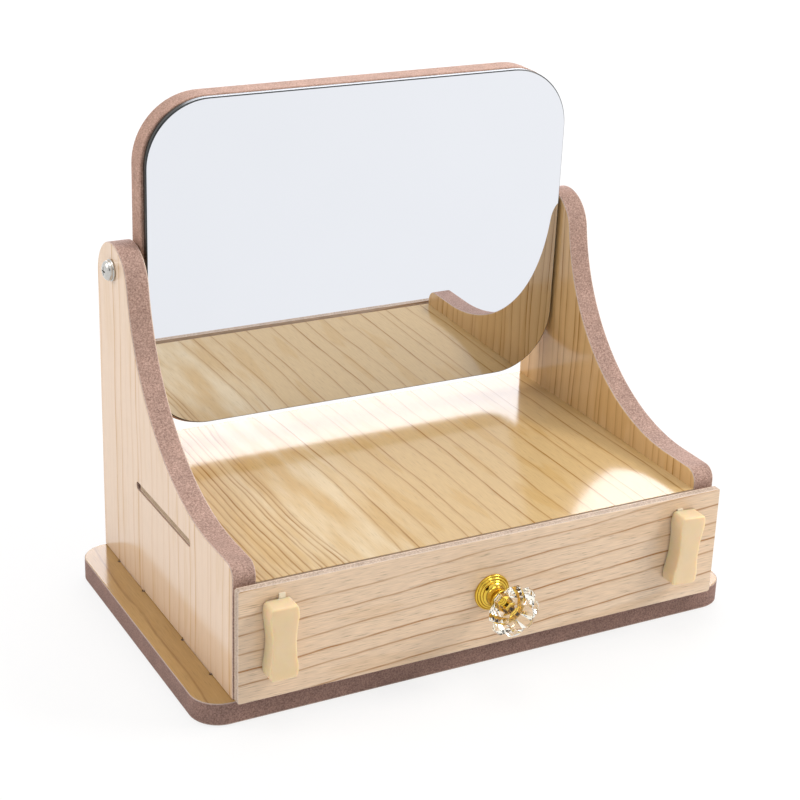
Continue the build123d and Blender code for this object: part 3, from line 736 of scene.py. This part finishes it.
# Pivot screws and washers. A zinc-plated pan head screw goes through each
# side panel into the end of the backing board, with a washer under its head
# and one between the panel and the board.
PIVOT_WASHER = (4.2, 2.05)  # outer and inner radius, mm
PIVOT_HEAD = 3.8  # radius, mm
PIVOT_HEAD_HEIGHT = 2.5  # mm
for side, outwards in (("left", -1), ("right", 1)):
    for kind in ("outer", "spacer"):
        washer = side + "_" + kind + "_washer"
        low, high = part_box(washer)
        inner = high if outwards < 0 else low
        place = middle(washer)
        place.x = inner.x
        ring = flat_washer(side + "_" + kind + "_ring", *PIVOT_WASHER, (high.x - low.x) / MM)
        set_in_place(ring, facing(place, (outwards, 0, 0)))
        finish_piece(ring, zinc_plating, "mirror", washer)
    low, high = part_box(side + "_pivot_screw")
    tip, top = (high, low) if outwards < 0 else (low, high)
    place = middle(side + "_pivot_screw")
    place.x = top.x - outwards * PIVOT_HEAD_HEIGHT * MM
    length = abs(place.x - tip.x) / MM
    screw = pan_head_screw(side + "_pan_screw", length, PIVOT_HEAD, PIVOT_HEAD_HEIGHT)
    set_in_place(screw, facing(place, (outwards, 0, 0)))
    finish_piece(screw, zinc_plating, "mirror", side + "_pivot_screw")


# Studio. A white floor and white surroundings, with soft lamps on the right,
# behind, on the left and above, and a black card in front on the left.
FLOOR_GAP = 0.4  # the floor lies this far under the base, mm
FLOOR_GLOW = 0.8  # share of plain white in the floor, for the rays that may see it
FILL_LEVEL = 0.48  # strength of the surroundings as light on the object
AIM = (0, 0, 0.06)


def shows_white(tree):
    """One for camera, glossy and transmission rays, and zero for light on the object."""
    path = add(tree, "LightPath").outputs
    seen = add(tree, "Math", [path["Is Camera Ray"], path["Is Glossy Ray"]], operation="MAXIMUM")
    return add(tree, "Math", [seen, path["Is Transmission Ray"]], operation="MAXIMUM")


bpy.ops.object.select_all(action="DESELECT")
bpy.ops.mesh.primitive_plane_add(size=12.0, location=(0, 0, -FLOOR_GAP * MM))
floor = bpy.context.object
floor.name = "floor"
material, tree, shader = new_material("white_floor")
connect(tree, shader, {"Base Color": linear("#F2F2F2"), "Roughness": 0.9})
glow = add(tree, "Emission", {"Color": linear("#FFFFFF"), "Strength": 1.0})
share = add(tree, "Math", [shows_white(tree), FLOOR_GLOW], operation="MULTIPLY")
connect(tree, tree.nodes["Material Output"], {"Surface": add(tree, "MixShader", [share, shader, glow])})
floor.data.materials.append(material)

world = bpy.data.worlds.new("studio_white")
bpy.context.scene.world = world
world.use_nodes = True
tree = world.node_tree
level = add(tree, "MapRange", [shows_white(tree), 0.0, 1.0, FILL_LEVEL, 1.0])
connect(tree, tree.nodes["Background"], {"Color": linear("#FFFFFF"), "Strength": level})


def soft_lamp(name, place, width, height, power, tint):
    """A large rectangular lamp that faces the object and isn't seen itself."""
    data = bpy.data.lights.new(name, "AREA")
    data.shape = "RECTANGLE"
    data.size = width
    data.size_y = height
    data.energy = power
    data.color = linear(tint)[:3]
    lamp = bpy.data.objects.new(name, data)
    bpy.context.scene.collection.objects.link(lamp)
    lamp.location = place
    lamp.rotation_mode = "QUATERNION"
    lamp.rotation_quaternion = (Vector(AIM) - Vector(place)).to_track_quat("-Z", "Y")
    lamp.visible_camera = False


soft_lamp("right_softbox", (1.35, -0.75, 1.15), 0.6, 0.6, 20.0, "#FFF8F0")
soft_lamp("rear_softbox", (0.85, 1.5, 0.72), 1.6, 0.9, 20.0, "#F2F5FF")
soft_lamp("left_softbox", (-1.5, 0.5, 1.3), 1.0, 1.0, 12.0, "#FFF7F4")
soft_lamp("top_softbox", (0.1, 0.15, 1.7), 0.9, 0.9, 8.0, "#FFFFFF")


def dark_card(name, place, width, height):
    """A black card that shows only in reflections and through the crystal."""
    bpy.ops.object.select_all(action="DESELECT")
    bpy.ops.mesh.primitive_plane_add(size=1.0, location=(0, 0, 0))
    card = bpy.context.object
    card.name = name
    card.scale = (width, height, 1)
    card.rotation_mode = "QUATERNION"
    card.rotation_quaternion = (Vector(AIM) - Vector(place)).to_track_quat("Z", "Y")
    card.location = place
    bpy.ops.object.transform_apply(location=True, rotation=True, scale=True)
    card.visible_camera = False
    card.visible_diffuse = False
    card.visible_shadow = False
    material, tree, shader = new_material("black_card")
    connect(tree, shader, {"Base Color": linear("#101010"), "Roughness": 0.9})
    card.data.materials.append(material)


dark_card("dark_card_front", (-1.1, -1.7, 1.1), 1.6, 1.0)


# Camera. It stands in front on the left, looks down on the shelf and is
# rolled a little.
AZIMUTH = math.radians(-28.503)
ELEVATION = math.radians(22.967)
ROLL = math.radians(2.092)
DISTANCE = 0.72542
TARGET = Vector((-0.005386, -0.004, 0.082953))
FOCAL_PIXELS = 1911.58
IMAGE_PIXELS = 800
SENSOR_WIDTH = 36.0  # mm

back = Vector((
    math.sin(AZIMUTH) * math.cos(ELEVATION),
    -math.cos(AZIMUTH) * math.cos(ELEVATION),
    math.sin(ELEVATION),
))
level_right = Vector((math.cos(AZIMUTH), math.sin(AZIMUTH), 0))
level_up = back.cross(level_right)
right = math.cos(ROLL) * level_right + math.sin(ROLL) * level_up
up = math.cos(ROLL) * level_up - math.sin(ROLL) * level_right
camera_data = bpy.data.cameras.new("camera")
camera_data.sensor_width = SENSOR_WIDTH
camera_data.lens = FOCAL_PIXELS / IMAGE_PIXELS * SENSOR_WIDTH
camera_data.clip_start = 0.01
camera_data.clip_end = 50.0
camera = bpy.data.objects.new("camera", camera_data)
bpy.context.scene.collection.objects.link(camera)
turn = Matrix((right, up, back)).transposed().to_4x4()
camera.matrix_world = Matrix.Translation(TARGET + back * DISTANCE) @ turn
bpy.context.scene.camera = camera
bpy.context.scene.view_settings.view_transform = "Standard"
